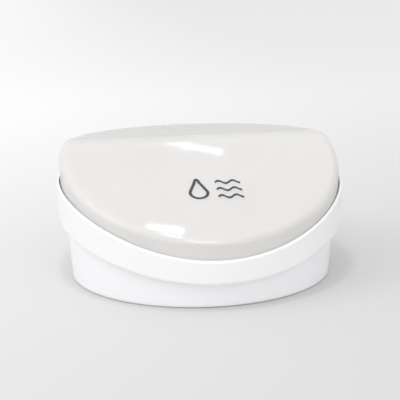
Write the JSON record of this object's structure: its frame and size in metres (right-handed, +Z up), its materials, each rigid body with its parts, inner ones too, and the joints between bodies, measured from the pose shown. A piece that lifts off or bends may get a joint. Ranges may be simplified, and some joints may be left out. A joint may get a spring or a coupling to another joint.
{
  "type": "bottle sterilizer",
  "caption": "Microwave steam bottle sterilizer: low oval water tray, white banded rim with a rack inside, and a milky lid with a sloping front held by side clips.",
  "frame": {"origin": "middle of the underside, on the surface it stands on", "axes": "+X to the object's left-to-right width, -Y towards the sloping front, +Z up"},
  "size_m": [0.277, 0.261, 0.1296],
  "materials": {
    "tray_white": "injection-moulded white polypropylene, satin gloss",
    "band_white": "injection-moulded white polypropylene, glossy",
    "rack_white": "injection-moulded white polypropylene, fine matt",
    "lid_milky": "injection-moulded translucent natural polypropylene, glossy, milky",
    "clip_white": "injection-moulded white polypropylene, satin gloss",
    "pin_white": "turned white acetal rod, smooth"
  },
  "bodies": {
    "tray": {"water_tray": "tray_white"},
    "cradle": {"band": "band_white", "bottle_rack": "rack_white", "teat_rack": "rack_white", "clip_pin_left": "pin_white", "clip_pin_right": "pin_white"},
    "lid": {"lid": "lid_milky"},
    "clip_left": {"clip_left": "clip_white"},
    "clip_right": {"clip_right": "clip_white"}
  },
  "joints": [
    {"name": "cradle_lift", "type": "slide", "parent": "tray", "child": "cradle", "axis": [0, 0, 1], "range_m": [0, 0.15]},
    {"name": "lid_lift", "type": "slide", "parent": "cradle", "child": "lid", "axis": [0, 0, 1], "range_m": [0, 0.15]},
    {"name": "clip_left_pivot", "type": "hinge", "parent": "cradle", "child": "clip_left", "pos_m": [-0.12482, 0.06369, 0.07], "axis": [-0.4972, -0.8676, 0], "range_deg": [0, 115]},
    {"name": "clip_right_pivot", "type": "hinge", "parent": "cradle", "child": "clip_right", "pos_m": [0.12482, 0.06369, 0.07], "axis": [-0.4972, 0.8676, 0], "range_deg": [0, 115]}
  ]
}
